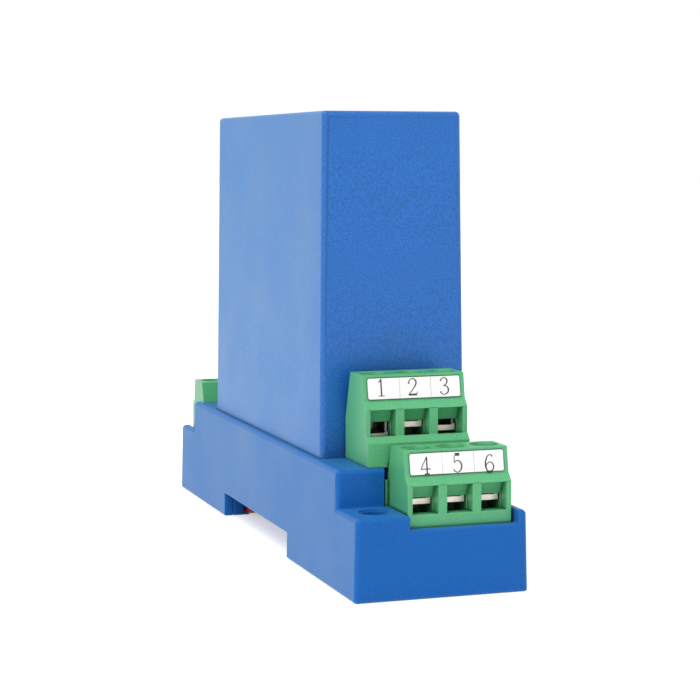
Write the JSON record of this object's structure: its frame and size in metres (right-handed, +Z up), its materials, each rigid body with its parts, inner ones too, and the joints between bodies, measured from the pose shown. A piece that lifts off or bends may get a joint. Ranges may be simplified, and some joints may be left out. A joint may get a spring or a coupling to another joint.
{
  "type": "frequency transducer",
  "caption": "Slim rail-mounted signal converter: tall blue cover on a stepped blue base, green screw terminal blocks on two levels at both ends, red rail clip under the rear leg",
  "frame": {"origin": "middle of the footprint, on the mounting surface", "axes": "X across the width, Y along the length from the front end (poles 1 to 6) to the rear end, Z up"},
  "size_m": [0.0256, 0.1, 0.067],
  "materials": {
    "housing_plastic": "fine matt texture",
    "terminal_plastic": "satin",
    "label_plastic": "satin",
    "clip_plastic": "satin",
    "plated_steel": "zinc plated",
    "tinned_copper": "matt tin",
    "board_laminate": "solder mask",
    "black_plastic": "moulded",
    "ferrite": "sintered",
    "winding": "taped winding",
    "red_epoxy": "dipped",
    "blue_epoxy": "dipped"
  },
  "bodies": {
    "housing": {"base_housing": "housing_plastic", "rail_foot": "housing_plastic", "cover": "housing_plastic", "upper_front_block": "terminal_plastic", "lower_front_block": "terminal_plastic", "lower_rear_block": "terminal_plastic", "upper_rear_block": "terminal_plastic", "upper_front_label": "label_plastic", "lower_front_label": "label_plastic", "lower_rear_label": "label_plastic", "upper_rear_label": "label_plastic", "upper_front_contacts": "tinned_copper", "lower_front_contacts": "tinned_copper", "lower_rear_contacts": "tinned_copper", "upper_rear_contacts": "tinned_copper", "main_board": "board_laminate", "upper_front_board": "board_laminate", "lower_front_board": "board_laminate", "lower_rear_board": "board_laminate", "upper_rear_board": "board_laminate", "link_headers": "tinned_copper", "board_headers": "tinned_copper", "transformer_core": "ferrite", "transformer_coil": "winding", "electrolytic_capacitors": "black_plastic", "film_capacitor": "red_epoxy", "varistor": "blue_epoxy", "regulator": "black_plastic", "converter_chip": "black_plastic", "amplifier_chips": "black_plastic", "optocouplers": "label_plastic", "crystal": "plated_steel", "trimmers": "blue_epoxy", "foot_screws": "plated_steel"},
    "clamp_screw_1": {"screw_1": "plated_steel"},
    "clamp_cage_1": {"cage_1": "plated_steel"},
    "clamp_screw_2": {"screw_2": "plated_steel"},
    "clamp_cage_2": {"cage_2": "plated_steel"},
    "clamp_screw_3": {"screw_3": "plated_steel"},
    "clamp_cage_3": {"cage_3": "plated_steel"},
    "clamp_screw_4": {"screw_4": "plated_steel"},
    "clamp_cage_4": {"cage_4": "plated_steel"},
    "clamp_screw_5": {"screw_5": "plated_steel"},
    "clamp_cage_5": {"cage_5": "plated_steel"},
    "clamp_screw_6": {"screw_6": "plated_steel"},
    "clamp_cage_6": {"cage_6": "plated_steel"},
    "clamp_screw_7": {"screw_7": "plated_steel"},
    "clamp_cage_7": {"cage_7": "plated_steel"},
    "clamp_screw_8": {"screw_8": "plated_steel"},
    "clamp_cage_8": {"cage_8": "plated_steel"},
    "clamp_screw_9": {"screw_9": "plated_steel"},
    "clamp_cage_9": {"cage_9": "plated_steel"},
    "clamp_screw_10": {"screw_10": "plated_steel"},
    "clamp_cage_10": {"cage_10": "plated_steel"},
    "clamp_screw_11": {"screw_11": "plated_steel"},
    "clamp_cage_11": {"cage_11": "plated_steel"},
    "clamp_screw_12": {"screw_12": "plated_steel"},
    "clamp_cage_12": {"cage_12": "plated_steel"},
    "clip": {"rail_clip": "clip_plastic"}
  },
  "joints": [
    {"name": "screw_turn_1", "type": "hinge", "parent": "housing", "child": "clamp_screw_1", "pos_m": [-0.00498, -0.0352, 0.0279], "axis": [0, 0, 1], "range_deg": [-1200.5, 420.5]},
    {"name": "cage_lift_1", "type": "slide", "parent": "housing", "child": "clamp_cage_1", "axis": [0, 0, 1], "range_m": [-0.00052, 0.0015]},
    {"name": "screw_turn_2", "type": "hinge", "parent": "housing", "child": "clamp_screw_2", "pos_m": [0.0001, -0.0352, 0.0279], "axis": [0, 0, 1], "range_deg": [-0.5, 1620.5]},
    {"name": "cage_lift_2", "type": "slide", "parent": "housing", "child": "clamp_cage_2", "axis": [0, 0, 1], "range_m": [-0.00202, 0]},
    {"name": "screw_turn_3", "type": "hinge", "parent": "housing", "child": "clamp_screw_3", "pos_m": [0.00518, -0.0352, 0.0279], "axis": [0, 0, 1], "range_deg": [-600.5, 1020.5]},
    {"name": "cage_lift_3", "type": "slide", "parent": "housing", "child": "clamp_cage_3", "axis": [0, 0, 1], "range_m": [-0.00128, 0.00075]},
    {"name": "screw_turn_4", "type": "hinge", "parent": "housing", "child": "clamp_screw_4", "pos_m": [-0.00195, -0.04415, 0.01835], "axis": [0, 0, 1], "range_deg": [-0.5, 1620.5]},
    {"name": "cage_lift_4", "type": "slide", "parent": "housing", "child": "clamp_cage_4", "axis": [0, 0, 1], "range_m": [-0.00202, 0]},
    {"name": "screw_turn_5", "type": "hinge", "parent": "housing", "child": "clamp_screw_5", "pos_m": [0.00313, -0.04415, 0.01835], "axis": [0, 0, 1], "range_deg": [-0.5, 1620.5]},
    {"name": "cage_lift_5", "type": "slide", "parent": "housing", "child": "clamp_cage_5", "axis": [0, 0, 1], "range_m": [-0.00202, 0]},
    {"name": "screw_turn_6", "type": "hinge", "parent": "housing", "child": "clamp_screw_6", "pos_m": [0.00821, -0.04415, 0.01835], "axis": [0, 0, 1], "range_deg": [-0.5, 1620.5]},
    {"name": "cage_lift_6", "type": "slide", "parent": "housing", "child": "clamp_cage_6", "axis": [0, 0, 1], "range_m": [-0.00202, 0]},
    {"name": "screw_turn_7", "type": "hinge", "parent": "housing", "child": "clamp_screw_7", "pos_m": [0.00195, 0.04415, 0.01835], "axis": [0, 0, 1], "range_deg": [-0.5, 1620.5]},
    {"name": "cage_lift_7", "type": "slide", "parent": "housing", "child": "clamp_cage_7", "axis": [0, 0, 1], "range_m": [-0.00202, 0]},
    {"name": "screw_turn_8", "type": "hinge", "parent": "housing", "child": "clamp_screw_8", "pos_m": [-0.00313, 0.04415, 0.01835], "axis": [0, 0, 1], "range_deg": [-0.5, 1620.5]},
    {"name": "cage_lift_8", "type": "slide", "parent": "housing", "child": "clamp_cage_8", "axis": [0, 0, 1], "range_m": [-0.00202, 0]},
    {"name": "screw_turn_9", "type": "hinge", "parent": "housing", "child": "clamp_screw_9", "pos_m": [-0.00821, 0.04415, 0.01835], "axis": [0, 0, 1], "range_deg": [-0.5, 1620.5]},
    {"name": "cage_lift_9", "type": "slide", "parent": "housing", "child": "clamp_cage_9", "axis": [0, 0, 1], "range_m": [-0.00202, 0]},
    {"name": "screw_turn_10", "type": "hinge", "parent": "housing", "child": "clamp_screw_10", "pos_m": [0.00498, 0.0352, 0.0279], "axis": [0, 0, 1], "range_deg": [-0.5, 1620.5]},
    {"name": "cage_lift_10", "type": "slide", "parent": "housing", "child": "clamp_cage_10", "axis": [0, 0, 1], "range_m": [-0.00202, 0]},
    {"name": "screw_turn_11", "type": "hinge", "parent": "housing", "child": "clamp_screw_11", "pos_m": [-0.0001, 0.0352, 0.0279], "axis": [0, 0, 1], "range_deg": [-0.5, 1620.5]},
    {"name": "cage_lift_11", "type": "slide", "parent": "housing", "child": "clamp_cage_11", "axis": [0, 0, 1], "range_m": [-0.00202, 0]},
    {"name": "screw_turn_12", "type": "hinge", "parent": "housing", "child": "clamp_screw_12", "pos_m": [-0.00518, 0.0352, 0.0279], "axis": [0, 0, 1], "range_deg": [-0.5, 1620.5]},
    {"name": "cage_lift_12", "type": "slide", "parent": "housing", "child": "clamp_cage_12", "axis": [0, 0, 1], "range_m": [-0.00202, 0]},
    {"name": "clip_slide", "type": "slide", "parent": "housing", "child": "clip", "axis": [0, 1, 0], "range_m": [0, 0.003]}
  ],
  "couplings": [
    {"joint": "screw_turn_1", "follows": "cage_lift_1", "rad_per_m": -13963},
    {"joint": "screw_turn_2", "follows": "cage_lift_2", "rad_per_m": -13963},
    {"joint": "screw_turn_3", "follows": "cage_lift_3", "rad_per_m": -13963},
    {"joint": "screw_turn_4", "follows": "cage_lift_4", "rad_per_m": -13963},
    {"joint": "screw_turn_5", "follows": "cage_lift_5", "rad_per_m": -13963},
    {"joint": "screw_turn_6", "follows": "cage_lift_6", "rad_per_m": -13963},
    {"joint": "screw_turn_7", "follows": "cage_lift_7", "rad_per_m": -13963},
    {"joint": "screw_turn_8", "follows": "cage_lift_8", "rad_per_m": -13963},
    {"joint": "screw_turn_9", "follows": "cage_lift_9", "rad_per_m": -13963},
    {"joint": "screw_turn_10", "follows": "cage_lift_10", "rad_per_m": -13963},
    {"joint": "screw_turn_11", "follows": "cage_lift_11", "rad_per_m": -13963},
    {"joint": "screw_turn_12", "follows": "cage_lift_12", "rad_per_m": -13963}
  ]
}
